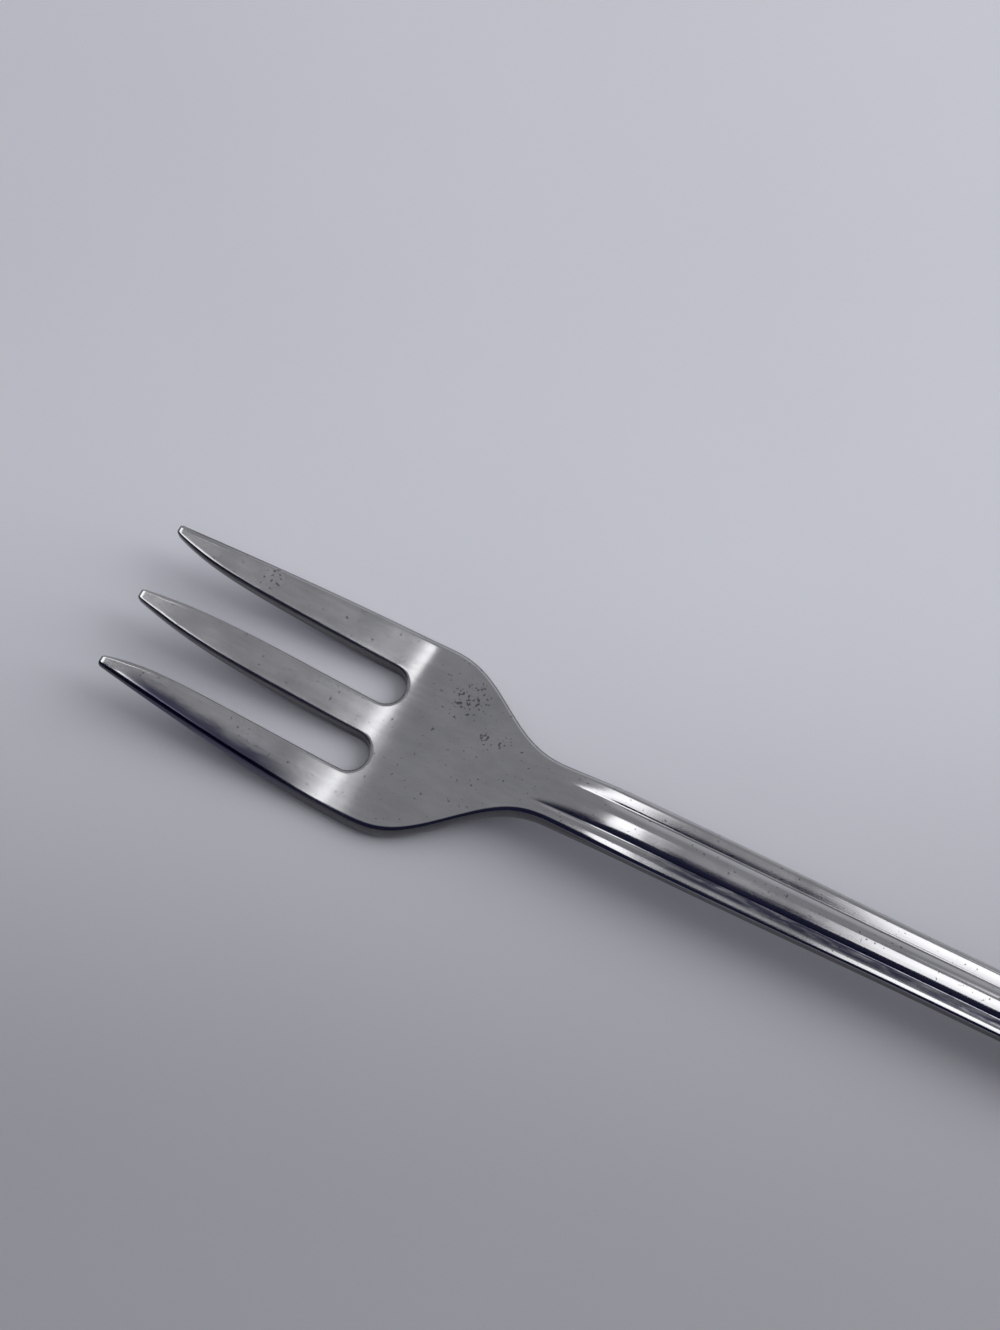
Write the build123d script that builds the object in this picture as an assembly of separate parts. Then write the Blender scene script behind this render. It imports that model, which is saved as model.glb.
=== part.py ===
"""Oyster fork: one pressed piece of stainless steel, modelled as its named sections.

Frame: X runs from the tine tips to the end of the handle, Z is up, and the fork lies on
its back on the plane z = 0. Y is the width, and the fork is the same on both sides of it.
A station is a distance along the fork from the line of the tine tips. Millimetres.
"""
import math
import os

from build123d import *

# Driving dimensions
overall_length = 150.0
head_width = 17.0          # across the shoulders, the widest place
tine_length = 22.1         # from the tips to the bottom of a slot
slot_width = 3.3
middle_tine_width = 3.04   # at the root
tip_width = 0.8
tip_spread = 12.7          # between the centres of the two outer tips
shoulder_length = 14.8     # over which the head narrows to the neck
neck_width = 5.1
waist_width = 4.76         # narrowest place of the handle
tail_width = 8.4           # widest place of the handle, near its end
tail_round = 4.6           # length of the rounded end

plate_thickness = 1.9      # bowl and tine roots
tip_thickness = 0.9
handle_thickness = 2.6
tail_thickness = 2.0
edge_round = 0.6           # how far the outer edge is rolled over, seen from above
slot_edge_round = 0.35
reed_depth = 0.22          # valley below the crest of a side reed
reed_side = 0.24           # height over which a side reed rolls over to the edge
crown = 0.24               # how far the side reeds lie below the middle one
valley_share = 0.48        # place of a valley across half of the handle
crest_share = 0.82         # place of the crest of a side reed

tip_rise = 3.25            # straight rise of the tines from the heel to their tips
tip_sweep = 0.95           # how much further the tips sweep up
heel_bend = 2.2            # length of the bend between tines and bowl
neck_rise = 3.8            # neck above the heel
bowl_run = 17.2            # length of the steep part of the climb from bowl to neck
neck_run = 24.5            # length of the whole climb
heel_flat = 0.15           # pressed flat where the fork stands on its heel
tail_flat = 0.05           # worn off where it stands on its tail
shoulder_gap = 1.4         # from the bottom of a slot to the widest place
climb_gap = 0.5            # the bowl starts to climb this far ahead of the bottom of a slot
reed_run = 12.5            # length over which the reeds rise out of the neck
tool_room = 20.0           # how far a cutting tool reaches past the metal

# Stations that follow from them
root_station = tine_length - slot_width / 2
lead_station = root_station - slot_width   # the pressing starts here, and is cut off at the roots
widest_station = tine_length + shoulder_gap
climb_station = tine_length - climb_gap
neck_start = widest_station + 0.66 * shoulder_length
reed_full = neck_start + reed_run
waist_station = 0.48 * overall_length
tail_station = 0.93 * overall_length

SECTION_NAMES = ("left_tine", "middle_tine", "right_tine", "bowl", "neck", "handle")


def ease(value):
    """Step from 0 to 1 with level ends and no kink in its curvature."""
    u = min(1.0, max(0.0, value))
    return u * u * u * (10 - 15 * u + 6 * u * u)


def rolled(depth, reach):
    """Height of a rolled-over edge, as a share of the full height, at a depth inside it."""
    short = 1 - min(1.0, depth / reach)
    return math.sqrt(1 - short * short)


def mid_height(s):
    """Height of the side line of the fork, seen from the side."""
    ahead = max(0.0, tine_length - s)
    lift = math.hypot(ahead, heel_bend) - heel_bend
    full_lift = math.hypot(tine_length, heel_bend) - heel_bend
    heel = plate_thickness / 2 - heel_flat
    climb = 0.62 * ease((s - climb_station) / bowl_run) + 0.38 * ease((s - climb_station) / neck_run)
    neck = heel + neck_rise * climb
    tail = tail_thickness / 2 - tail_flat
    fall = (heel + neck_rise - tail) * ease((s - 0.45 * overall_length) / (0.47 * overall_length))
    sweep = tip_sweep * (ahead / tine_length) ** 2
    return tip_rise * lift / full_lift + sweep + neck - fall


def upright(s):
    """Factor from a thickness across the sheet to its height in an upright section."""
    slope = (mid_height(s + 0.1) - mid_height(s - 0.1)) / 0.2
    return math.hypot(1.0, slope)


def half_width(s):
    """Half the width of the head, the neck and the handle, without the rounded tail."""
    if s < widest_station:
        tip_edge = (tip_spread + tip_width) / 2
        return head_width / 2 - (head_width / 2 - tip_edge) * (1 - s / widest_station) ** 1.6
    shoulder = (head_width - neck_width) / 2 * (1 - ease((s - widest_station + 0.5) / shoulder_length))
    waist = (neck_width - waist_width) / 2 * ease((s - reed_full) / (waist_station - reed_full))
    flare = (tail_width - waist_width) / 2 * ease((s - waist_station) / (tail_station - waist_station))
    return neck_width / 2 + shoulder - waist + flare


def bezier(*points):
    return Edge.make_bezier(*[Vector(*p) for p in points])


def quarter(x, start, end, upright_first):
    """Quarter of an ellipse in the section plane, leaving its start upright or level."""
    k = 0.5523
    (y0, z0), (y1, z1) = start, end
    if upright_first:
        handles = ((y0, z0 + k * (z1 - z0)), (y1 + k * (y0 - y1), z1))
    else:
        handles = ((y0 + k * (y1 - y0), z0), (y1, z1 + k * (z0 - z1)))
    return bezier((x, y0, z0), (x, *handles[0]), (x, *handles[1]), (x, y1, z1))


def body_section(s, width_share=1.0, height_share=1.0):
    """Upright section of bowl, neck or handle: reeded top, rolled edges, plain rounded back."""
    x = s - overall_length / 2
    w = half_width(s) * width_share
    reeded = ease((s - neck_start) / (reed_full - neck_start))
    tail = ease((s - waist_station) / (tail_station - waist_station))
    thick = plate_thickness * upright(s) * (1 - reeded) + reeded * handle_thickness
    thick += (tail_thickness - handle_thickness) * tail
    zm = mid_height(s)
    high = thick / 2 * height_share
    roll = edge_round * (1 - reeded) + reeded * (1 - crest_share) * w
    back_roll = edge_round * (1 - reeded) + reeded * 0.6 * w
    roll, back_roll = min(roll, 0.45 * w), min(back_roll, 0.8 * w)
    reed = reeded * height_share * (1 - ease((s - overall_length + 2 * tail_round) / (1.4 * tail_round)))
    side_top = zm + high - crown * reed
    valley = side_top - reed_depth * reed
    side, crest, dip = w, w - roll, valley_share * w
    wall = side_top - (side_top - zm) * (0.97 - reeded) - reeded * reed_side * height_share
    reed_half = (crest + dip) / 2
    edges = [
        bezier((x, -side, zm), (x, -side, wall)),
        quarter(x, (-side, wall), (-crest, side_top), True),
        bezier((x, -crest, side_top), (x, -reed_half, side_top), (x, -dip, valley)),
        bezier((x, -dip, valley), (x, 0, 2 * (zm + high) - valley), (x, dip, valley)),
        bezier((x, dip, valley), (x, reed_half, side_top), (x, crest, side_top)),
        quarter(x, (crest, side_top), (side, wall), False),
        bezier((x, side, wall), (x, side, zm)),
        quarter(x, (side, zm), (side - back_roll, zm - high), True),
        bezier((x, side - back_roll, zm - high), (x, 0, zm - high), (x, back_roll - side, zm - high)),
        quarter(x, (back_roll - side, zm - high), (-side, zm), False),
    ]
    return Face(Wire(edges))


def spread(share):
    """Even steps from 0 to 1, drawn closer together towards both ends."""
    return share - 0.65 * math.sin(2 * math.pi * share) / (2 * math.pi)


def body():
    """Bowl, neck and handle in one, before the slots are pressed out."""
    tail_start = overall_length - tail_round
    head = [lead_station + i * (reed_full - lead_station) / 18 for i in range(18)]
    grip = [reed_full + spread(i / 24) * (tail_start - reed_full) for i in range(24)]
    sections = [body_section(s) for s in head + grip]
    last_turn = math.radians(78)
    for step in range(6):
        turn = last_turn * step / 5
        s = tail_start + tail_round * math.sin(turn) / math.sin(last_turn)
        high = rolled(overall_length - s + 0.1, 0.9)
        sections.append(body_section(s, math.cos(turn), high))
    return loft(sections)


def standing(metal):
    """A body with the flats that it stands on."""
    return metal - Pos(0, 0, -tool_room / 2) * Box(2 * overall_length, 2 * head_width, tool_room)


def length_of(metal, start, end):
    """The part of a body between two stations."""
    run = Pos((start + end - overall_length) / 2, 0, 0) * Box(end - start, 2 * head_width, 2 * tool_room)
    return metal & run


def bowl(metal):
    """Flat head with its shoulders and the round ends of the two slots, their rims broken."""
    plate = length_of(metal, root_station, neck_start)
    centre = (middle_tine_width + slot_width) / 2
    for side in (-1, 1):
        end = Pos(root_station - overall_length / 2, side * centre, 0)
        plate = plate - end * Cylinder(slot_width / 2, 2 * tool_room)
    bottom = tine_length - overall_length / 2
    rims = [e for e in plate.edges()
            if e.bounding_box().max.X < bottom + edge_round / 4
            and e.bounding_box().size.X > slot_width / 8
            and abs(e.center().Y) < head_width / 2 - 2 * edge_round]
    return fillet(rims, slot_edge_round)


def tine_edges(s):
    """Where the right tine lies at a station: its inner and its outer side."""
    share = 1 - s / root_station
    tip_inner = (tip_spread - tip_width) / 2
    root_inner = middle_tine_width / 2 + slot_width
    inner = root_inner + (tip_inner - root_inner) * share ** 7
    return inner, half_width(s)


def tine_section(s, inner, outer, outer_roll, shrink=1.0):
    """Upright section of a tine between two sides, with four rolled edges."""
    x = s - overall_length / 2
    share = 1 - s / root_station
    thick = plate_thickness + (tip_thickness - plate_thickness) * share * share
    high = thick * upright(s) / 2 * shrink
    middle = (inner + outer) / 2
    inner, outer = middle + (inner - middle) * shrink, middle + (outer - middle) * shrink
    zm = mid_height(s)
    r = slot_edge_round * min(1.0, (outer - inner) / 1.6)
    ro = min(outer_roll, 0.4 * (outer - inner))
    outer_high = high if outer_roll > slot_edge_round else r
    step = high - r
    top, low = zm + high, zm - high
    edges = [
        quarter(x, (inner, zm + step), (inner + r, top), True),
        bezier((x, inner + r, top), (x, outer - ro, top)),
        quarter(x, (outer - ro, top), (outer, top - outer_high), False),
    ]
    if outer_high < high:
        edges.append(bezier((x, outer, zm + step), (x, outer, zm - step)))
    edges += [
        quarter(x, (outer, low + outer_high), (outer - ro, low), True),
        bezier((x, outer - ro, low), (x, inner + r, low)),
        quarter(x, (inner + r, low), (inner, zm - step), False),
        bezier((x, inner, zm - step), (x, inner, zm + step)),
    ]
    return Face(Wire(edges))


def tine_stations():
    """Sections stand closer towards the tip, where the tine tapers."""
    return [root_station * (1 - i / 15) ** 1.3 for i in range(15)]


def outer_tine():
    sections = [tine_section(s, *tine_edges(s), edge_round) for s in tine_stations()]
    sections.append(tine_section(0.0, *tine_edges(0.0), edge_round, 0.8))
    return loft(sections)


def middle_tine():
    def half(s):
        share = 1 - s / root_station
        return middle_tine_width / 2 + (tip_width - middle_tine_width) / 2 * share ** 4.5

    sections = [tine_section(s, -half(s), half(s), slot_edge_round) for s in tine_stations()]
    sections.append(tine_section(0.0, -half(0.0), half(0.0), slot_edge_round, 0.8))
    return loft(sections)


def build():
    metal = standing(body())
    right = standing(outer_tine())
    solids = (
        mirror(right, Plane.XZ),
        standing(middle_tine()),
        right,
        bowl(metal),
        length_of(metal, neck_start, reed_full),
        length_of(metal, reed_full, overall_length + tool_room),
    )
    return dict(zip(SECTION_NAMES, solids))


os.makedirs("parts", exist_ok=True)
for name, shape in build().items():
    solid = shape.solids()[0]
    export_step(solid, f"parts/{name}.step")
    box = solid.bounding_box()
    print(name, len(shape.solids()), "solid", round(solid.volume, 1), "mm3", box.min, box.max, solid.is_valid)
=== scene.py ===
"""Oyster fork: a flat steel blank, pressed and reeded, on a pale table under soft light.

Stations are distances along the fork from the line of the tine tips. The blank is worked
out in millimetres and made in metres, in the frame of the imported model.
"""
import math

import bmesh
import bpy
from bpy.props import FloatProperty, FloatVectorProperty, PointerProperty
from mathutils import Matrix, Vector


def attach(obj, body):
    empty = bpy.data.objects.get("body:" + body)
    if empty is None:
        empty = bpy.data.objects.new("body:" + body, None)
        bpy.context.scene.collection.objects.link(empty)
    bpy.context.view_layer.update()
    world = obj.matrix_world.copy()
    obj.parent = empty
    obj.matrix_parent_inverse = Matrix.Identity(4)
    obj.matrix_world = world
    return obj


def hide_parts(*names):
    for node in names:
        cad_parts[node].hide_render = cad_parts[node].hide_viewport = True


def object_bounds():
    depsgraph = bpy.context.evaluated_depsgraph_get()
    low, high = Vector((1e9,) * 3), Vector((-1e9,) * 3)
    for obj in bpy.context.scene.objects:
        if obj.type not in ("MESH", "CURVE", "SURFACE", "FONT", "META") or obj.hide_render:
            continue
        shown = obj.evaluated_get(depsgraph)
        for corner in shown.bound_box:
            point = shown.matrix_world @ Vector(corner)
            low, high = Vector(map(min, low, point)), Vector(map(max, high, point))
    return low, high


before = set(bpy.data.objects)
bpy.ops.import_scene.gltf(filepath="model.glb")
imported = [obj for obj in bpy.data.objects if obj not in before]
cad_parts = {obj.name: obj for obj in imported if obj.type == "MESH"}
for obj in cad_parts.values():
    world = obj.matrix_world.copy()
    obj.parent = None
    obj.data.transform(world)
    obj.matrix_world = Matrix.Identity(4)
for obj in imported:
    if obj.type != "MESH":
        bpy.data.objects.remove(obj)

bl_info = {
    "name": "Oyster fork",
    "version": (1, 0, 0),
    "blender": (4, 5, 0),
    "location": "View3D > Sidebar > Fork",
    "description": "Presses a three-tined fork with a reeded handle out of a steel blank",
    "category": "Object",
}

CAD_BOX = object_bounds()
MM = 0.001
NODES = ("left_tine", "middle_tine", "right_tine", "bowl", "neck", "handle")

# Camera that fits the photograph: focal length in pixels of the image, place in millimetres
IMAGE_HEIGHT = 1330
FOCAL_LENGTH = 2212.8
CAMERA_PLACE = (-16.779, -50.991, 167.683)
CAMERA_RIGHT = (0.89208706, 0.45186353, -0.00014557)
CAMERA_AHEAD = (-0.16928157, 0.33390371, -0.92728208)

# Mesh counts
TINE_COLUMNS = 10       # across the flat of a tine
SLOT_COLUMNS = 16       # round the end of a slot
OUTER_STEPS = 10        # from the flat of a face to the side line of an outer edge
RIM_STEPS = 5           # round a slot rim
WALL_STEPS = 3          # down the straight part of a slot wall
TINE_ROWS = 52
TINE_ROW_POWER = 1.15   # rows of a tine lie closer towards its tip
BOWL_ROWS = 18
TIP_ROWS = 5
TAIL_ROWS = 14

# Rows of the body, in millimetres
BOWL_REACH = 5.0        # past the slot bottoms, where the rows of the bowl run straight across
FINE_REACH = 4.0        # past the full reeds, where the fine rows end
FINE_ROW = 0.4
COARSE_ROW = 1.0

# Plan and side profile
WAIST = 0.48            # narrowest place of the handle, as a share of the overall length
TAIL = 0.93             # widest place of the handle, likewise
FALL_START = 0.45       # where the handle starts to come down, likewise
FALL_END = 0.92         # where it lies level again, likewise
STEEP_SHARE = 0.62      # share of the climb that the bowl takes; the neck takes the rest
NECK_SHARE = 0.66       # share of the shoulders after which the reeds begin
HEEL_SKEW = 0.12        # slant of the heel bend across the head
HEAD_POWER = 1.6        # curve of the head's outer edge
OUTER_TINE_POWER = 7    # curve of an outer tine's inner edge
MIDDLE_TINE_POWER = 4.5  # curve of the middle tine's edges

# Ends and edges
TIP_ROUND = 0.22        # length of the rounding at a tip, in millimetres
TIP_SHARE = 0.72        # share of its size that a tine keeps at the very tip
FULL_RIM_WIDTH = 1.6    # a tine narrower than this, in millimetres, has smaller slot rims
BACK_ROLL = 0.6         # share of the handle's half width that is rolled over at the back
TAIL_TURN = math.radians(86)  # the round of the tail stops just short of a quarter turn
TAIL_ROLL = 0.9         # length over which the end of the tail is rolled over, in millimetres
TAIL_BLUNT = 0.1        # part of that roll that is left off, in millimetres

# Reeds across the handle, as shares of its half width
VALLEY = 0.48           # bottom of a valley
SIDE_CREST = 0.82       # crest of a side reed
NECK_CREST = 0.74       # crest of a side reed where the reeds begin

# Clusters of dark specks: place along and across the fork, and reach, in millimetres
SPECKS = ((-47.8, 4.7, 2.2), (-44.9, 2.3, 1.0), (-43.4, 2.3, 0.8), (-66.3, 6.2, 1.4))

# Tints of the room
ROOM = (0.98, 0.99, 1.04, 1.0)
ROOM_NEAR = (0.04, 0.045, 0.12, 1.0)


def linear(hex_colour):
    """sRGB hex to linear RGB."""
    parts = [int(hex_colour[i:i + 2], 16) / 255 for i in (1, 3, 5)]
    return [c / 12.92 if c <= 0.04045 else ((c + 0.055) / 1.055) ** 2.4 for c in parts]


def add_node(tree, kind, settings=None, inputs=None):
    """Add a node, set it up, and give its inputs values or links from output sockets."""
    node = tree.nodes.new(kind)
    for name, value in (settings or {}).items():
        setattr(node, name, value)
    for key, value in (inputs or {}).items():
        if isinstance(value, bpy.types.NodeSocket):
            tree.links.new(value, node.inputs[key])
        else:
            node.inputs[key].default_value = value
    return node


def millimetres(name, default, description):
    """Length property that is written in millimetres and kept in metres."""
    return FloatProperty(name=name, default=default * MM, description=description,
                         subtype="DISTANCE", unit="LENGTH", precision=5)


class ForkSizes(bpy.types.PropertyGroup):
    """Sizes of the fork as in its CAD source; the last three are of its finish alone."""
    overall_length: millimetres("Overall length", (CAD_BOX[1] - CAD_BOX[0]).x / MM,
                                "From tips to tail")
    head_width: millimetres("Head width", (CAD_BOX[1] - CAD_BOX[0]).y / MM,
                            "Across the shoulders")
    tine_length: millimetres("Tine length", 22.1, "From the tips to the bottom of a slot")
    slot_width: millimetres("Slot width", 3.3, "Between two tines")
    middle_tine_width: millimetres("Middle tine width", 3.04, "At the root")
    tip_width: millimetres("Tip width", 0.8, "Blunt end of a tine")
    tip_spread: millimetres("Tip spread", 12.7, "Between the centres of the outer tips")
    shoulder_length: millimetres("Shoulder length", 14.8,
                                 "Over which the head narrows to the neck")
    shoulder_gap: millimetres("Shoulder gap", 1.4,
                              "From the bottom of a slot to the widest place")
    neck_width: millimetres("Neck width", 5.1, "Where the reeds begin")
    waist_width: millimetres("Waist width", 4.76, "Narrowest place of the handle")
    tail_width: millimetres("Tail width", 8.4, "Widest place of the handle")
    tail_round: millimetres("Tail round", 4.6, "Length of the rounded end")
    plate_thickness: millimetres("Plate thickness", 1.9, "Bowl and tine roots")
    tip_thickness: millimetres("Tip thickness", 0.9, "At the tine tips")
    handle_thickness: millimetres("Handle thickness", 2.6, "At the neck end of the handle")
    tail_thickness: millimetres("Tail thickness", 2.0, "At the end of the handle")
    edge_round: millimetres("Edge round", 0.6, "How far the outer edge is rolled over")
    slot_edge_round: millimetres("Slot edge round", 0.35, "Radius of the slot rims")
    reed_depth: millimetres("Reed depth", 0.22, "Valley below the crest of a side reed")
    reed_run: millimetres("Reed run", 12.5, "Length over which the reeds rise")
    reed_side: millimetres("Reed side", 0.24,
                           "Height over which a side reed rolls over to the edge")
    crown: millimetres("Crown", 0.24, "How far the side reeds lie below the middle one")
    tip_rise: millimetres("Tip rise", 3.25,
                          "Straight rise of the tines from the heel to their tips")
    tip_sweep: millimetres("Tip sweep", 0.95, "How much further the tips sweep up")
    heel_bend: millimetres("Heel bend", 2.2, "Length of the bend between tines and bowl")
    neck_rise: millimetres("Neck rise", 3.8, "Neck above the heel")
    bowl_run: millimetres("Bowl run", 17.2, "Length of the steep part of the climb")
    neck_run: millimetres("Neck run", 24.5, "Length of the whole climb")
    climb_gap: millimetres("Climb gap", 0.5,
                           "The climb starts this far ahead of the slot bottoms")
    heel_flat: millimetres("Heel flat", 0.15, "Pressed flat where the fork stands")
    tail_flat: millimetres("Tail flat", 0.05, "Worn off where the tail stands")
    valley_run: millimetres("Valley run", 7.0, "Length over which the two valleys sink in")
    valley_skew: millimetres("Valley skew", 5.0,
                             "How much later the far valley starts, per half width")
    waviness: millimetres("Polishing waviness", 0.02, "How unevenly the buffing wheel cut")


class ForkLooks(bpy.types.PropertyGroup):
    """Colours of the steel and the table, and the levels of the light."""
    steel: FloatVectorProperty(name="Steel", subtype="COLOR", default=linear("#c3c3c5"),
                               description="Bright steel, seen straight on")
    stain: FloatVectorProperty(name="Stain", subtype="COLOR", default=linear("#302f2f"),
                               description="Specks left by water and wear")
    # Bluish tint painted on as a dark reflection, on the near reed's flank and the near tine's edge
    painted_reflection_tint: FloatVectorProperty(name="Painted reflection tint", subtype="COLOR", default=linear("#555569"),
                                 description="Bluish film on a worn edge and in the reeds")
    table: FloatVectorProperty(name="Table", subtype="COLOR", default=linear("#cecfd7"),
                               description="Pale matt table top")
    dome: FloatProperty(name="Dome level", default=0.33,
                        description="Grey of the room above the table")
    panel_level: FloatProperty(name="Panel level", default=1.75,
                               description="Radiance of the two softboxes overhead")
    key_level: FloatProperty(name="Key level", default=1.02,
                             description="Radiance of the far softbox")


def ease(value):
    """Step from 0 to 1 with level ends and no kink in its curvature."""
    u = min(1.0, max(0.0, value))
    return u * u * u * (10 - 15 * u + 6 * u * u)


class Blank:
    """Outline and thickness of the fork at every station, in millimetres."""

    def __init__(self, sizes):
        for name in ForkSizes.__annotations__:
            setattr(self, name, getattr(sizes, name) / MM)
        self.root = self.tine_length - self.slot_width / 2
        self.widest = self.tine_length + self.shoulder_gap
        self.climb_start = self.tine_length - self.climb_gap
        self.neck_start = self.widest + NECK_SHARE * self.shoulder_length
        self.reed_full = self.neck_start + self.reed_run
        self.waist = WAIST * self.overall_length
        self.tail = TAIL * self.overall_length
        self.tail_start = self.overall_length - self.tail_round
        self.fall_start = FALL_START * self.overall_length
        self.fall_end = FALL_END * self.overall_length
        self.heel = self.plate_thickness / 2 - self.heel_flat
        self.drop = self.heel + self.neck_rise - self.tail_thickness / 2 + self.tail_flat

    def mid_height(self, s):
        full = math.hypot(self.tine_length, self.heel_bend) - self.heel_bend
        ahead = max(0.0, self.tine_length - s)
        lift = math.hypot(ahead, self.heel_bend) - self.heel_bend
        sweep = self.tip_sweep * (ahead / self.tine_length) ** 2
        climb = STEEP_SHARE * ease((s - self.climb_start) / self.bowl_run)
        climb += (1 - STEEP_SHARE) * ease((s - self.climb_start) / self.neck_run)
        fall = ease((s - self.fall_start) / (self.fall_end - self.fall_start))
        return (self.heel + self.tip_rise * lift / full + sweep
                + self.neck_rise * climb - self.drop * fall)

    def reeded(self, s):
        return ease((s - self.neck_start) / self.reed_run)

    def half_width(self, s):
        if s < self.widest:
            narrower = self.head_width / 2 - (self.tip_spread + self.tip_width) / 2
            return self.head_width / 2 - narrower * (1 - s / self.widest) ** HEAD_POWER
        shoulder = 1 - ease((s - self.widest + 0.5) / self.shoulder_length)
        waist = ease((s - self.reed_full) / (self.waist - self.reed_full))
        flare = ease((s - self.waist) / (self.tail - self.waist))
        return (self.neck_width + (self.head_width - self.neck_width) * shoulder
                - (self.neck_width - self.waist_width) * waist
                + (self.tail_width - self.waist_width) * flare) / 2

    def half_thickness(self, s):
        slope = (self.mid_height(s + 0.1) - self.mid_height(s - 0.1)) / 0.2
        taper = max(0.0, 1 - s / self.root)
        thinner = (self.plate_thickness - self.tip_thickness) * taper * taper
        plate = (self.plate_thickness - thinner) * math.hypot(1.0, slope)
        tail = ease((s - self.waist) / (self.tail - self.waist))
        reeded = self.reeded(s)
        thick = plate * (1 - reeded) + self.handle_thickness * reeded
        return (thick + (self.tail_thickness - self.handle_thickness) * tail) / 2

    def rolls(self, s, width):
        """How far in an outer edge is rolled over at the top and at the back."""
        reeded = self.reeded(s)
        plain = self.edge_round * (1 - reeded)
        top = min(plain + reeded * (1 - SIDE_CREST) * width, 0.45 * width)
        back = min(plain + reeded * BACK_ROLL * width, 0.8 * width)
        return top, back

    def roll_share(self, s):
        """How far down an outer edge is rolled over, as a share of the half thickness."""
        reeded = self.reeded(s)
        return 1 - reeded + reeded * self.reed_side / (self.half_thickness(s) - self.crown * reeded)

    def right_tine(self, s):
        share = max(0.0, 1 - s / self.root) ** OUTER_TINE_POWER
        root_inner = self.middle_tine_width / 2 + self.slot_width
        tip_inner = (self.tip_spread - self.tip_width) / 2
        return root_inner + (tip_inner - root_inner) * share, self.half_width(s)

    def left_tine(self, s):
        inner, outer = self.right_tine(s)
        return -outer, -inner

    def middle_tine(self, s):
        share = max(0.0, 1 - s / self.root) ** MIDDLE_TINE_POWER
        half = (self.middle_tine_width + (self.tip_width - self.middle_tine_width) * share) / 2
        return -half, half


class Skin:
    """Collects the vertices of the blank with what the press needs to know of each."""
    FIELDS = ("station", "across", "height_share", "half_thickness", "rim")

    def __init__(self, blank):
        self.blank = blank
        self.mesh = bmesh.new()
        self.layers = {name: self.mesh.verts.layers.float.new(name) for name in self.FIELDS}

    def vertex(self, s, y, share, rim=0.0):
        b = self.blank
        half = b.half_thickness(s)
        v = self.mesh.verts.new(((s - b.overall_length / 2) * MM, y * MM, share * half * MM))
        values = (s * MM, y / b.half_width(s), share, half * MM, rim)
        for name, value in zip(self.FIELDS, values):
            v[self.layers[name]] = value
        return v

    def sheet(self, rows):
        """Quads between rows; along a row and then to the next row turns outwards."""
        for low, high in zip(rows, rows[1:]):
            for a, b, c, d in zip(low, high, high[1:], low[1:]):
                self.mesh.faces.new((a, b, c, d))

    def cap(self, ring):
        self.mesh.faces.new(ring)

    def finish(self, name):
        bmesh.ops.remove_doubles(self.mesh, verts=self.mesh.verts, dist=1e-7)
        bmesh.ops.recalc_face_normals(self.mesh, faces=self.mesh.faces)
        for face in self.mesh.faces:
            face.smooth = True
        data = bpy.data.meshes.new(name)
        self.mesh.to_mesh(data)
        self.mesh.free()
        return data


def outer_edge(flat_y, side_y, back_y, roll_share):
    """Profile of an outer edge from the flat of the top to the flat of the back."""
    points = []
    for i in range(OUTER_STEPS + 1):
        turn = math.pi / 2 * i / OUTER_STEPS
        points.append((flat_y + (side_y - flat_y) * math.sin(turn),
                       1 - roll_share * (1 - math.cos(turn))))
    points.append((side_y, 0.0))
    for i in range(1, OUTER_STEPS + 1):
        turn = math.pi / 2 * i / OUTER_STEPS
        points.append((side_y + (back_y - side_y) * (1 - math.cos(turn)), -math.sin(turn)))
    return points


def slot_edge(radius, half):
    """Profile of a slot rim and wall: how far out of the rim, height share, rim share."""
    points = []
    straight = 1 - radius / half
    for i in range(RIM_STEPS + 1):
        turn = math.pi / 2 * i / RIM_STEPS
        points.append((math.sin(turn), straight + (1 - straight) * math.cos(turn),
                       math.sin(2 * turn)))
    rim = list(points)
    for i in range(1, WALL_STEPS):
        points.append((1.0, straight * (1 - 2 * i / WALL_STEPS), 0.0))
    return points + [(out, -share, 0.0) for out, share, worn in reversed(rim)]


def tine_ring(skin, s, low, high, low_is_outer, high_is_outer, shrink):
    """Ring of vertices round a tine: top, high side, back, low side."""
    b = skin.blank
    middle = (low + high) / 2
    low, high = middle + (low - middle) * shrink, middle + (high - middle) * shrink
    width = high - low
    half = b.half_thickness(s) * shrink
    rim = b.slot_edge_round * min(1.0, width / FULL_RIM_WIDTH)
    roll = min(b.edge_round, 0.4 * width)
    low_flat = low + (roll if low_is_outer else rim)
    high_flat = high - (roll if high_is_outer else rim)
    step = (high_flat - low_flat) / TINE_COLUMNS
    columns = [low_flat + step * k for k in range(TINE_COLUMNS + 1)]

    def side(flat, edge, outer):
        if outer:
            return [(y, share, 0.0) for y, share in outer_edge(flat, edge, flat, 1.0)]
        return [(flat + (edge - flat) * out, share, r) for out, share, r in slot_edge(rim, half)]

    ring = [(y, 1.0, 0.0) for y in columns]
    ring += side(high_flat, high, high_is_outer)[1:-1]
    ring += [(y, -1.0, 0.0) for y in reversed(columns)]
    ring += list(reversed(side(low_flat, low, low_is_outer)[1:-1]))
    return [skin.vertex(s, y, share * shrink, r) for y, share, r in ring]


def add_tine(skin, reach, low_is_outer, high_is_outer):
    """A tine from its blunt tip to its root."""
    length = skin.blank.root - TIP_ROUND
    rows = []
    for i in range(TIP_ROWS):
        turn = math.pi / 2 * (1 - i / TIP_ROWS)
        rows.append((TIP_ROUND * (1 - math.sin(turn)),
                     TIP_SHARE + (1 - TIP_SHARE) * math.cos(turn)))
    for i in range(TINE_ROWS + 1):
        rows.append((TIP_ROUND + length * (i / TINE_ROWS) ** TINE_ROW_POWER, 1.0))
    rings = [tine_ring(skin, s, *reach(s), low_is_outer, high_is_outer, k) for s, k in rows]
    skin.sheet([ring + ring[:1] for ring in rings])
    skin.cap(list(reversed(rings[0])))


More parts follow.
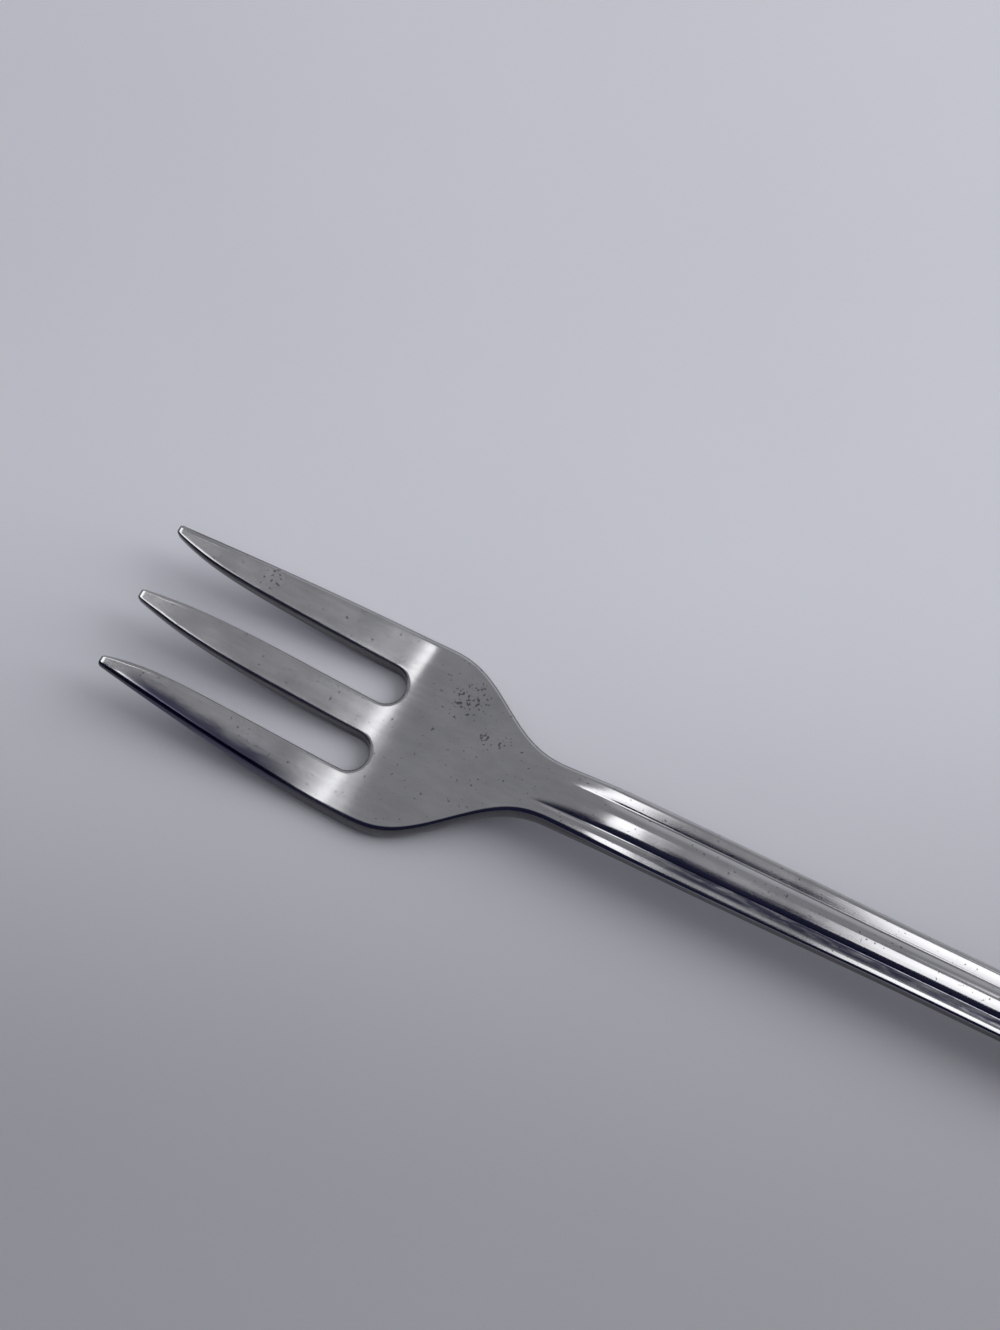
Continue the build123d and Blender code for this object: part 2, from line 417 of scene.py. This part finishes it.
def slot_arc(blank, side, reach):
    """Points (station, y) round the end of a slot, from its low side to its high side."""
    centre = (blank.middle_tine_width + blank.slot_width) / 2 * side
    points = []
    for a in range(SLOT_COLUMNS + 1):
        angle = math.pi * (a / SLOT_COLUMNS - 0.5)
        points.append((blank.root + reach * math.cos(angle), centre + reach * math.sin(angle)))
    return points


def add_slot_end(skin, side):
    """The round wall at the bottom of a slot."""
    b = skin.blank
    columns = []
    for out, share, rim in slot_edge(b.slot_edge_round, b.half_thickness(b.root)):
        arc = slot_arc(b, side, b.slot_width / 2 + b.slot_edge_round * (1 - out))
        columns.append([skin.vertex(s, y, share, rim) for s, y in arc])
    skin.sheet([list(row) for row in zip(*columns)])


def bowl_columns(blank):
    """Where each lengthwise line of the bowl starts: (station, y)."""
    b = blank
    inner, outer = b.right_tine(b.root)
    inner, outer = inner + b.slot_edge_round, outer - b.edge_round
    half = b.middle_tine_width / 2 - b.slot_edge_round
    starts = []
    for low, high, next_slot in ((-outer, -inner, -1), (-half, half, 1), (inner, outer, None)):
        step = (high - low) / TINE_COLUMNS
        starts += [(b.root, low + step * k) for k in range(TINE_COLUMNS + 1)]
        if next_slot:
            starts += slot_arc(b, next_slot, b.slot_width / 2 + b.slot_edge_round)[1:-1]
    return starts


def body_rows(blank, starts):
    """Rows of the body: stations of its columns, how narrow it is there and how thick."""
    b = blank
    count = len(starts)
    join = b.tine_length + BOWL_REACH
    run = b.reed_full + FINE_REACH
    rows = [([s + (join - s) * i / BOWL_ROWS for s, y in starts], 1.0, 1.0)
            for i in range(BOWL_ROWS)]
    for start, end, spacing in ((join, run, FINE_ROW), (run, b.tail_start, COARSE_ROW)):
        steps = round((end - start) / spacing)
        rows += [([start + (end - start) * i / steps] * count, 1.0, 1.0) for i in range(steps)]
    for i in range(TAIL_ROWS + 1):
        turn = TAIL_TURN * i / TAIL_ROWS
        s = b.tail_start + b.tail_round * math.sin(turn) / math.sin(TAIL_TURN)
        short = 1 - min(1.0, (b.overall_length - s + TAIL_BLUNT) / TAIL_ROLL)
        rows.append(([s] * count, math.cos(turn), math.sqrt(1 - short * short)))
    return rows


def add_body(skin):
    """Bowl, neck and handle."""
    b = skin.blank
    starts = bowl_columns(b)
    # Shares of the flat width: at the slots as the tines ask, on the handle even over each reed
    shares = [y / (b.half_width(s) - b.rolls(s, b.half_width(s))[0]) for s, y in starts]
    reed = VALLEY / SIDE_CREST
    side = round((len(starts) - 1) / 2 * (1 - reed))
    middle = len(starts) - 1 - 2 * side
    even = [reed * (2 * k / middle - 1) for k in range(middle + 1)]
    outer = [reed + (1 - reed) * k / side for k in range(1, side + 1)]
    even = [-v for v in reversed(outer)] + even + outer
    tops, backs, right, left = [], [], [], []
    for row, narrow, low in body_rows(b, starts):
        top, back = [], []
        for s, share, even_share in zip(row, shares, even):
            mix = ease((s - b.root) / (b.reed_full - b.root))
            share += (even_share - share) * mix
            width = b.half_width(s) * narrow
            roll, back_roll = b.rolls(s, width)
            top.append(skin.vertex(s, share * (width - roll), low))
            back.append(skin.vertex(s, share * (width - back_roll), -low))
        s = row[-1]
        width = b.half_width(s) * narrow
        roll, back_roll = b.rolls(s, width)
        edge = outer_edge(width - roll, width, width - back_roll, b.roll_share(s))
        tops.append(top)
        backs.append(list(reversed(back)))
        right.append([skin.vertex(s, y, share * low) for y, share in edge])
        left.append([skin.vertex(s, -y, share * low) for y, share in reversed(edge)])
    for sheet in (tops, right, backs, left):
        skin.sheet(sheet)
    skin.cap(tops[-1] + right[-1][1:-1] + backs[-1] + left[-1][1:-1])


def blank_mesh(blank):
    """Flat steel blank of the fork: one closed skin with rolled edges."""
    skin = Skin(blank)
    add_tine(skin, blank.left_tine, True, False)
    add_tine(skin, blank.middle_tine, False, False)
    add_tine(skin, blank.right_tine, False, True)
    add_slot_end(skin, -1)
    add_slot_end(skin, 1)
    add_body(skin)
    return skin.finish("fork_blank")


def press_tree(blank):
    """Node tree that presses the blank to its side profile and rolls the reeds into its handle.

    Returns the tree, the values for its inputs by socket identifier, and the identifier of
    the input for the material.
    """
    tree = bpy.data.node_groups.new("Press and reed the blank", "GeometryNodeTree")
    b = blank
    tree.interface.new_socket("Blank", in_out="INPUT", socket_type="NodeSocketGeometry")
    tree.interface.new_socket("Fork", in_out="OUTPUT", socket_type="NodeSocketGeometry")
    lengths = {
        "Heel Height": b.heel, "Tine Length": b.tine_length, "Tip Rise": b.tip_rise,
        "Tip Sweep": b.tip_sweep, "Heel Bend": b.heel_bend,
        "Climb Start": b.climb_start, "Bowl End": b.climb_start + b.bowl_run,
        "Neck End": b.climb_start + b.neck_run,
        "Steep Rise": STEEP_SHARE * b.neck_rise, "Slow Rise": (1 - STEEP_SHARE) * b.neck_rise,
        "Fall Start": b.fall_start, "Fall End": b.fall_end, "Fall": b.drop,
        "Reeds Start": b.neck_start, "Reeds Full": b.reed_full,
        "Reeds Fade": b.overall_length - 2 * b.tail_round,
        "Reeds End": b.overall_length - 0.6 * b.tail_round,
        "Valleys Start": b.neck_start + 1.0, "Valleys Full": b.neck_start + 1.0 + b.valley_run,
        "Valley Skew": b.valley_skew, "Crests Full": b.reed_full + b.reed_run,
        "Reed Depth": b.reed_depth, "Crown": b.crown, "Waviness": b.waviness,
    }
    shares = {"Valley Place": VALLEY, "Side Crest Place": SIDE_CREST,
              "Neck Crest Place": NECK_CREST, "Heel Skew": HEEL_SKEW}
    values = {}
    for name, value in lengths.items():
        socket = tree.interface.new_socket(name, in_out="INPUT", socket_type="NodeSocketFloat")
        socket.subtype = "DISTANCE"
        values[socket.identifier] = value * MM
    for name, value in shares.items():
        socket = tree.interface.new_socket(name, in_out="INPUT", socket_type="NodeSocketFloat")
        values[socket.identifier] = value
    steel = tree.interface.new_socket("Steel", in_out="INPUT", socket_type="NodeSocketMaterial")

    entry = add_node(tree, "NodeGroupInput").outputs
    field = {name: add_node(tree, "GeometryNodeInputNamedAttribute", {"data_type": "FLOAT"},
                            {"Name": name}).outputs["Attribute"]
             for name in ("station", "across", "height_share", "half_thickness")}
    s = field["station"]
    flat = add_node(tree, "GeometryNodeInputPosition").outputs[0]
    plan = add_node(tree, "ShaderNodeSeparateXYZ", None, {0: flat}).outputs

    # Side profile: the tines lift off the heel, the bowl climbs to the neck, the handle falls
    # to its tail
    heel_line = add_node(tree, "ShaderNodeMath", {"operation": "MULTIPLY_ADD"},
                         {0: plan[1], 1: entry["Heel Skew"], 2: entry["Tine Length"]})
    ahead = add_node(tree, "ShaderNodeMath", {"operation": "SUBTRACT"},
                     {0: heel_line.outputs[0], 1: s})
    ahead = add_node(tree, "ShaderNodeMath", {"operation": "MAXIMUM"},
                     {0: ahead.outputs[0], 1: 0.0}).outputs[0]
    leans = []
    for length in (ahead, entry["Tine Length"]):
        lean = add_node(tree, "ShaderNodeCombineXYZ", None, {0: length, 1: entry["Heel Bend"]})
        lean = add_node(tree, "ShaderNodeVectorMath", {"operation": "LENGTH"},
                        {0: lean.outputs[0]})
        leans.append(lean.outputs["Value"])
    lift = add_node(tree, "ShaderNodeMapRange", {"clamp": False},
                    {"Value": leans[0], "From Min": entry["Heel Bend"], "From Max": leans[1],
                     "To Max": entry["Tip Rise"]})
    height = add_node(tree, "ShaderNodeMath", {"operation": "ADD"},
                      {0: entry["Heel Height"], 1: lift.outputs[0]})
    sweep = add_node(tree, "ShaderNodeMath", {"operation": "DIVIDE"},
                     {0: ahead, 1: entry["Tine Length"]})
    sweep = add_node(tree, "ShaderNodeMath", {"operation": "POWER"}, {0: sweep.outputs[0], 1: 2.0})
    height = add_node(tree, "ShaderNodeMath", {"operation": "MULTIPLY_ADD"},
                      {0: sweep.outputs[0], 1: entry["Tip Sweep"], 2: height.outputs[0]})
    for start, end, rise, sign in (("Climb Start", "Bowl End", "Steep Rise", "ADD"),
                                   ("Climb Start", "Neck End", "Slow Rise", "ADD"),
                                   ("Fall Start", "Fall End", "Fall", "SUBTRACT")):
        step = add_node(tree, "ShaderNodeMapRange", {"interpolation_type": "SMOOTHERSTEP"},
                        {"Value": s, "From Min": entry[start], "From Max": entry[end],
                         "To Max": entry[rise]})
        height = add_node(tree, "ShaderNodeMath", {"operation": sign},
                          {0: height.outputs[0], 1: step.outputs[0]})

    # Reeds: the top falls in an arc from the middle crest to a valley and climbs in another to
    # a side crest
    place = add_node(tree, "ShaderNodeMath", {"operation": "ABSOLUTE"},
                     {0: field["across"]}).outputs[0]
    fall = add_node(tree, "ShaderNodeMapRange", None,
                    {"Value": place, "From Max": entry["Valley Place"]})
    fall = add_node(tree, "ShaderNodeMath", {"operation": "POWER"}, {0: fall.outputs[0], 1: 2.0})
    crest = add_node(tree, "ShaderNodeMapRange", {"interpolation_type": "SMOOTHSTEP"},
                     {"Value": s, "From Min": entry["Reeds Start"],
                      "From Max": entry["Crests Full"], "To Min": entry["Neck Crest Place"],
                      "To Max": entry["Side Crest Place"]})
    climb = add_node(tree, "ShaderNodeMapRange", {"clamp": False},
                     {"Value": place, "From Min": crest.outputs[0],
                      "From Max": entry["Valley Place"]})
    climb = add_node(tree, "ShaderNodeMath", {"operation": "POWER"}, {0: climb.outputs[0], 1: 2.0})
    groove = add_node(tree, "ShaderNodeMath", {"operation": "MINIMUM"},
                      {0: fall.outputs[0], 1: climb.outputs[0]})
    askew = add_node(tree, "ShaderNodeMath", {"operation": "MULTIPLY"},
                     {0: field["across"], 1: entry["Valley Skew"]})
    askew = add_node(tree, "ShaderNodeMath", {"operation": "SUBTRACT"},
                     {0: s, 1: askew.outputs[0]}).outputs[0]
    sunk = None
    for shape, depth, at, start, end in (
            (fall, "Crown", s, "Reeds Start", "Reeds Full"),
            (groove, "Reed Depth", askew, "Valleys Start", "Valleys Full")):
        step = add_node(tree, "ShaderNodeMapRange", {"interpolation_type": "SMOOTHERSTEP"},
                        {"Value": at, "From Min": entry[start], "From Max": entry[end],
                         "To Max": entry[depth]})
        sunk = add_node(tree, "ShaderNodeMath", {"operation": "MULTIPLY_ADD"},
                        {0: shape.outputs[0], 1: step.outputs[0],
                         2: sunk.outputs[0] if sunk else 0.0})
    fade = add_node(tree, "ShaderNodeMapRange", {"interpolation_type": "SMOOTHERSTEP"},
                    {"Value": s, "From Min": entry["Reeds Fade"], "From Max": entry["Reeds End"],
                     "To Min": 1.0, "To Max": 0.0})
    sunk = add_node(tree, "ShaderNodeMath", {"operation": "MULTIPLY"},
                    {0: sunk.outputs[0], 1: fade.outputs[0]})

    # Waves about 5 mm long that the buffing wheel left on the top
    grain = add_node(tree, "ShaderNodeTexNoise", None, {"Scale": 1 / (5 * MM), "Detail": 1.0})
    sunk = add_node(tree, "ShaderNodeMath", {"operation": "MULTIPLY_ADD"},
                    {0: grain.outputs[0], 1: entry["Waviness"], 2: sunk.outputs[0]})
    on_top = add_node(tree, "ShaderNodeMath", {"operation": "GREATER_THAN"},
                      {0: field["height_share"], 1: 0.0})
    sunk = add_node(tree, "ShaderNodeMath", {"operation": "MULTIPLY"},
                    {0: sunk.outputs[0], 1: on_top.outputs[0]})

    # Height of each point, and the floor that the heel and the tail stand on
    half = add_node(tree, "ShaderNodeMath", {"operation": "SUBTRACT"},
                    {0: field["half_thickness"], 1: sunk.outputs[0]})
    z = add_node(tree, "ShaderNodeMath", {"operation": "MULTIPLY_ADD"},
                 {0: half.outputs[0], 1: field["height_share"], 2: height.outputs[0]})
    z = add_node(tree, "ShaderNodeMath", {"operation": "MAXIMUM"}, {0: z.outputs[0], 1: 0.0})
    shaped = add_node(tree, "ShaderNodeCombineXYZ", None, {0: plan[0], 1: plan[1], 2: z.outputs[0]})
    pressed = add_node(tree, "GeometryNodeSetPosition", None,
                       {"Geometry": entry["Blank"], "Position": shaped.outputs[0]})
    real = add_node(tree, "GeometryNodeRealizeInstances", None, {"Geometry": pressed.outputs[0]})
    dressed = add_node(tree, "GeometryNodeSetMaterial", None,
                       {"Geometry": real.outputs[0], "Material": entry["Steel"]})
    add_node(tree, "NodeGroupOutput", None, {"Fork": dressed.outputs[0]})
    return tree, values, steel.identifier


def satin_steel(looks):
    """18/10 stainless steel, pressed, buffed along its length and worn by use.

    The eye sees a grey metal that blurs what it mirrors, with lengthwise streaks, cloudy patches,
    rougher sheared sides darkened as painted shade, rubbed slot rims, a painted dark reflection
    on the near reed's flank and the near tine's outer edge, and a few specks.
    """
    material = bpy.data.materials.new("Satin-polished stainless steel")
    material.use_nodes = True
    tree = material.node_tree
    tree.nodes.clear()
    place = add_node(tree, "ShaderNodeTexCoord").outputs["Object"]
    field = {name: add_node(tree, "ShaderNodeAttribute", {"attribute_name": name}).outputs["Fac"]
             for name in ("station", "across", "height_share", "rim")}

    # Length along the fork and width of each grain, in millimetres, and its detail. The buffing
    # hairlines are about 0.05 mm apart, and are drawn 0.12 mm apart so that they show. The streaks
    # are the buffing wheel's, the reflection mottle breaks up the painted dark reflection, the
    # cloud is uneven polish, the grit is specks.
    grain = {}
    for name, length, width, detail in (("hair", 8.0, 0.12, 3.0), ("streak", 20.0, 0.5, 2.0),
                                        ("reflection_mottle", 2.0, 0.4, 3.0), ("cloud", 4.0, 4.0, 5.0),
                                        ("grit", 0.3, 0.3, 1.0)):
        scale = (1 / (length * MM), 1 / (width * MM), 1 / (width * MM))
        along = add_node(tree, "ShaderNodeMapping", None, {"Vector": place, "Scale": scale})
        grain[name] = add_node(tree, "ShaderNodeTexNoise", None,
                               {"Vector": along.outputs[0], "Scale": 1.0,
                                "Detail": detail}).outputs[0]

    # Bands about a place. Wall: sides sheared by the blanking tool, which no wheel reached; they
    # are rougher, and are darkened as painted shade. Heel: roots of the tines, which the wheel only
    # brushed. Flank: inner side of the near reed, where a painted dark reflection goes.
    band = {}
    for name, value, middle, none, full in (
            ("wall", field["height_share"], 0.0, 0.92, 0.72),
            ("heel", field["station"], 20.2 * MM, 4.0 * MM, 1.0 * MM),
            ("flank", field["across"], -0.6, 0.22, 0.1)):
        away = add_node(tree, "ShaderNodeMath", {"operation": "SUBTRACT"}, {0: value, 1: middle})
        away = add_node(tree, "ShaderNodeMath", {"operation": "ABSOLUTE"}, {0: away.outputs[0]})
        band[name] = add_node(tree, "ShaderNodeMapRange", {"interpolation_type": "SMOOTHSTEP"},
                              {"Value": away.outputs[0], "From Min": none,
                               "From Max": full}).outputs[0]
    # Ramps along the fork, from none to full, in millimetres
    ramp = {}
    for name, none, full in (("reeds", 43.0, 50.0), ("tip", 1.0, 5.0), ("root", 20.0, 14.0)):
        ramp[name] = add_node(tree, "ShaderNodeMapRange", {"interpolation_type": "SMOOTHSTEP"},
                              {"Value": field["station"], "From Min": none * MM,
                               "From Max": full * MM}).outputs[0]

    rough = add_node(tree, "ShaderNodeMapRange", None,
                     {"Value": grain["cloud"], "From Min": 0.3, "From Max": 0.7,
                      "To Min": 0.07, "To Max": 0.11})
    for share, most in ((grain["hair"], 0.05), (band["heel"], 0.08), (field["rim"], 0.08),
                        (band["wall"], 0.12)):
        rough = add_node(tree, "ShaderNodeMath", {"operation": "MULTIPLY_ADD"},
                         {0: share, 1: most, 2: rough.outputs[0]})

    bright = add_node(tree, "ShaderNodeMapRange", None,
                      {"Value": grain["cloud"], "From Min": 0.3, "From Max": 0.7,
                       "To Min": 0.86, "To Max": 1.0})
    # Streaks dim the steel a little; the wall band darkens the sides to a quarter as painted shade
    for share, none, full, least in ((grain["streak"], 0.6, 0.4, 0.95),
                                     (band["wall"], 0.0, 1.0, 0.25)):
        layer = add_node(tree, "ShaderNodeMapRange", None,
                         {"Value": share, "From Min": none, "From Max": full,
                          "To Min": 1.0, "To Max": least})
        bright = add_node(tree, "ShaderNodeMath", {"operation": "MULTIPLY"},
                          {0: bright.outputs[0], 1: layer.outputs[0]})
    colour = add_node(tree, "ShaderNodeMix", {"data_type": "RGBA", "blend_type": "MULTIPLY"},
                      {"Factor": 1.0, 6: (*looks.steel, 1.0), 7: bright.outputs[0]})

    # Painted dark reflection, in a bluish tint: patchy on the flank of the near reed, and along the
    # outer edge of the near tine
    patchy = add_node(tree, "ShaderNodeMapRange", None,
                      {"Value": grain["reflection_mottle"], "From Min": 0.2, "From Max": 0.55})
    edge = add_node(tree, "ShaderNodeMath", {"operation": "MULTIPLY_ADD"},
                    {0: grain["reflection_mottle"], 1: -0.1, 2: field["across"]})
    edge = add_node(tree, "ShaderNodeMapRange", {"interpolation_type": "SMOOTHSTEP"},
                    {"Value": edge.outputs[0], "From Min": -0.81, "From Max": -0.97})
    painted_dark_reflection = None
    for first, second, third in ((band["flank"], ramp["reeds"], patchy.outputs[0]),
                                 (edge.outputs[0], ramp["tip"], ramp["root"])):
        layer = add_node(tree, "ShaderNodeMath", {"operation": "MULTIPLY"}, {0: first, 1: second})
        layer = add_node(tree, "ShaderNodeMath", {"operation": "MULTIPLY"},
                         {0: layer.outputs[0], 1: third})
        painted_dark_reflection = add_node(tree, "ShaderNodeMath", {"operation": "MAXIMUM"},
                        {0: layer.outputs[0], 1: painted_dark_reflection.outputs[0] if painted_dark_reflection else 0.0})
    # Mix in the painted dark reflection
    colour = add_node(tree, "ShaderNodeMix", {"data_type": "RGBA"},
                      {"Factor": painted_dark_reflection.outputs[0], 6: colour.outputs[2],
                       7: (*looks.painted_reflection_tint, 1.0)})

    # Specks: many in the clusters, few elsewhere
    plan = add_node(tree, "ShaderNodeVectorMath", {"operation": "MULTIPLY"},
                    {0: place, 1: (1.0, 1.0, 0.0)})
    marked = None
    for x, y, reach in SPECKS:
        away = add_node(tree, "ShaderNodeVectorMath", {"operation": "DISTANCE"},
                        {0: plan.outputs[0], 1: (x * MM, y * MM, 0.0)})
        spot = add_node(tree, "ShaderNodeMapRange", None,
                        {"Value": away.outputs["Value"], "From Min": reach * MM, "From Max": 0.0})
        marked = add_node(tree, "ShaderNodeMath", {"operation": "MAXIMUM"},
                          {0: spot.outputs[0], 1: marked.outputs[0] if marked else 0.0})
    specks = add_node(tree, "ShaderNodeMath", {"operation": "MULTIPLY_ADD"},
                      {0: marked.outputs[0], 1: 0.22, 2: grain["grit"]})
    specks = add_node(tree, "ShaderNodeMapRange", {"interpolation_type": "SMOOTHSTEP"},
                      {"Value": specks.outputs[0], "From Min": 0.68, "From Max": 0.8,
                       "To Max": 0.7})
    colour = add_node(tree, "ShaderNodeMix", {"data_type": "RGBA"},
                      {"Factor": specks.outputs[0], 6: colour.outputs[2],
                       7: (*looks.stain, 1.0)})

    bump = add_node(tree, "ShaderNodeBump", None,
                    {"Strength": 0.1, "Distance": 0.02 * MM, "Height": grain["hair"]})
    surface = add_node(tree, "ShaderNodeBsdfPrincipled", None,
                       {"Base Color": colour.outputs[2], "Metallic": 1.0,
                        "Roughness": rough.outputs[0], "Normal": bump.outputs[0]})
    add_node(tree, "ShaderNodeOutputMaterial", None, {"Surface": surface.outputs[0]})
    return material


class FORK_OT_press(bpy.types.Operator):
    """Make the flat blank, press it and roll its reeds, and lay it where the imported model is"""
    bl_idname = "fork.press"
    bl_label = "Press the fork"
    bl_options = {"REGISTER", "UNDO"}

    def execute(self, context):
        scene = context.scene
        blank = Blank(scene.fork_sizes)
        work = bpy.data.objects.new("fork_blank", blank_mesh(blank))
        scene.collection.objects.link(work)
        tree, values, steel = press_tree(blank)
        values[steel] = satin_steel(scene.fork_looks)
        press = work.modifiers.new("Press", "NODES")
        press.node_group = tree
        for identifier, value in values.items():
            press[identifier] = value
        shaped = work.evaluated_get(context.evaluated_depsgraph_get())
        mesh = bpy.data.meshes.new_from_object(shaped)
        bpy.data.objects.remove(work)
        if not mesh.polygons:
            raise RuntimeError("the press gave no fork")
        mesh.name = "fork"
        fork = bpy.data.objects.new("fork", mesh)
        scene.collection.objects.link(fork)
        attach(fork, "root")
        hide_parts(*NODES)
        return {"FINISHED"}


def table_top(looks):
    """Matt laminate: pale, with the faintest mottling, and painted shade that darkens it towards
    the viewer.
    """
    material = bpy.data.materials.new("Matt pale laminate")
    material.use_nodes = True
    tree = material.node_tree
    surface = tree.nodes["Principled BSDF"]
    surface.inputs["Roughness"].default_value = 0.65
    place = add_node(tree, "ShaderNodeTexCoord").outputs["Object"]
    # Mottling in patches of 40 mm
    cloud = add_node(tree, "ShaderNodeTexNoise", None,
                     {"Vector": place, "Scale": 1 / (40 * MM), "Detail": 2.0})
    level = add_node(tree, "ShaderNodeMapRange", None,
                     {"Value": cloud.outputs[0], "From Min": 0.3, "From Max": 0.7,
                      "To Min": 0.97, "To Max": 1.0})
    # Painted shade: the table darkens towards the viewer, from 36 mm beyond the fork's middle to 22
    # mm nearer than it
    depth = add_node(tree, "ShaderNodeVectorMath", {"operation": "DOT_PRODUCT"},
                     {0: place, 1: (-0.3, 0.9, 0.0)})
    painted_shade = add_node(tree, "ShaderNodeMapRange", {"interpolation_type": "SMOOTHSTEP"},
                    {"Value": depth.outputs["Value"], "From Min": -22 * MM, "From Max": 36 * MM,
                     "To Min": 0.58})
    level = add_node(tree, "ShaderNodeMath", {"operation": "MULTIPLY"},
                     {0: level.outputs[0], 1: painted_shade.outputs[0]})
    colour = add_node(tree, "ShaderNodeMix", {"data_type": "RGBA", "blend_type": "MULTIPLY"},
                      {"Factor": 1.0, 6: (*looks.table, 1.0), 7: level.outputs[0]})
    tree.links.new(colour.outputs[2], surface.inputs["Base Color"])
    return material


def softbox(scene, name, place, turn, size, radiance, spread=math.pi):
    """Rectangular softbox of an even radiance; a grid on its front narrows the spread."""
    light = bpy.data.lights.new(name, "AREA")
    light.shape = "RECTANGLE"
    light.size, light.size_y = size
    light.spread = spread
    light.energy = radiance * math.pi * size[0] * size[1]
    lamp = bpy.data.objects.new(name, light)
    lamp.location = place
    lamp.rotation_euler = turn
    scene.collection.objects.link(lamp)


def grey_room(scene, looks):
    """World: an even grey room, brighter low on the far side and dark navy on the near one."""
    world = bpy.data.worlds.new("Grey room")
    scene.world = world
    world.use_nodes = True
    tree = world.node_tree
    tree.nodes.clear()
    place = add_node(tree, "ShaderNodeTexCoord").outputs["Generated"]
    parts = add_node(tree, "ShaderNodeSeparateXYZ", None, {0: place})
    near = add_node(tree, "ShaderNodeMapRange", {"interpolation_type": "SMOOTHSTEP"},
                    {"Value": parts.outputs[1], "From Min": -0.1, "From Max": -0.45})
    colour = add_node(tree, "ShaderNodeMix", {"data_type": "RGBA"},
                      {"Factor": near.outputs[0], 6: ROOM, 7: ROOM_NEAR})
    far = add_node(tree, "ShaderNodeMapRange", {"interpolation_type": "SMOOTHSTEP"},
                   {"Value": parts.outputs[1], "From Min": 0.8, "From Max": 0.98,
                    "To Min": looks.dome, "To Max": 1.7 * looks.dome})
    light = add_node(tree, "ShaderNodeBackground", None,
                     {"Color": colour.outputs[2], "Strength": far.outputs[0]})
    add_node(tree, "ShaderNodeOutputWorld", None, {"Surface": light.outputs[0]})


class FORK_OT_stage(bpy.types.Operator):
    """Lay the pale table, set the soft light and aim the camera as in the photograph"""
    bl_idname = "fork.stage"
    bl_label = "Set the stage"
    bl_options = {"REGISTER", "UNDO"}

    def execute(self, context):
        scene = context.scene
        looks = scene.fork_looks
        mesh = bpy.data.meshes.new("table")
        bm = bmesh.new()
        bmesh.ops.create_grid(bm, x_segments=1, y_segments=1, size=1.5)
        bm.to_mesh(mesh)
        bm.free()
        table = bpy.data.objects.new("table", mesh)
        scene.collection.objects.link(table)
        mesh.materials.append(table_top(looks))

        # Two long softboxes overhead, which the heel and the reeds mirror as highlights, and a
        # square one on the far right that throws the shadows
        grey_room(scene, looks)
        softbox(scene, "left_panel", (-0.095, -0.01, 0.375), (0, 0, 0), (0.058, 0.405),
                looks.panel_level)
        softbox(scene, "right_panel", (0.034, -0.064, 0.375), (0, 0, 0), (0.076, 0.364),
                looks.panel_level)
        key = Vector((0.24, 0.26, 0.3))
        aim = Vector((-0.05, 0.13, 0.0))
        turn = (key - aim).to_track_quat("Z", "Y").to_euler()
        softbox(scene, "far_key", key, turn, (0.44, 0.44), looks.key_level, math.radians(85))

        lens = bpy.data.cameras.new("portrait_camera")
        lens.sensor_width = 36.0
        lens.lens = FOCAL_LENGTH * lens.sensor_width / IMAGE_HEIGHT
        lens.clip_start = 0.01
        camera = bpy.data.objects.new("portrait_camera", lens)
        right, ahead = Vector(CAMERA_RIGHT), Vector(CAMERA_AHEAD)
        turn = Matrix((right, right.cross(ahead), -ahead)).transposed().to_4x4()
        camera.matrix_world = Matrix.Translation(Vector(CAMERA_PLACE) * MM) @ turn
        scene.collection.objects.link(camera)
        scene.camera = camera
        scene.view_settings.view_transform = "Standard"
        return {"FINISHED"}


class FORK_PT_panel(bpy.types.Panel):
    """Lists the fork's sizes, looks and steps"""
    bl_idname = "FORK_PT_panel"
    bl_label = "Oyster fork"
    bl_space_type = "VIEW_3D"
    bl_region_type = "UI"
    bl_category = "Fork"

    def draw(self, context):
        layout = self.layout
        for step in (FORK_OT_press, FORK_OT_stage):
            layout.operator(step.bl_idname)
        for group in (context.scene.fork_sizes, context.scene.fork_looks):
            for name in group.__annotations__:
                layout.prop(group, name)


CLASSES = (ForkSizes, ForkLooks, FORK_OT_press, FORK_OT_stage, FORK_PT_panel)


def register():
    for cls in CLASSES:
        bpy.utils.register_class(cls)
    bpy.types.Scene.fork_sizes = PointerProperty(type=ForkSizes)
    bpy.types.Scene.fork_looks = PointerProperty(type=ForkLooks)


def unregister():
    del bpy.types.Scene.fork_looks
    del bpy.types.Scene.fork_sizes
    for cls in reversed(CLASSES):
        bpy.utils.unregister_class(cls)


def main():
    register()
    bpy.ops.fork.press()
    bpy.ops.fork.stage()


if __name__ == "__main__":
    main()
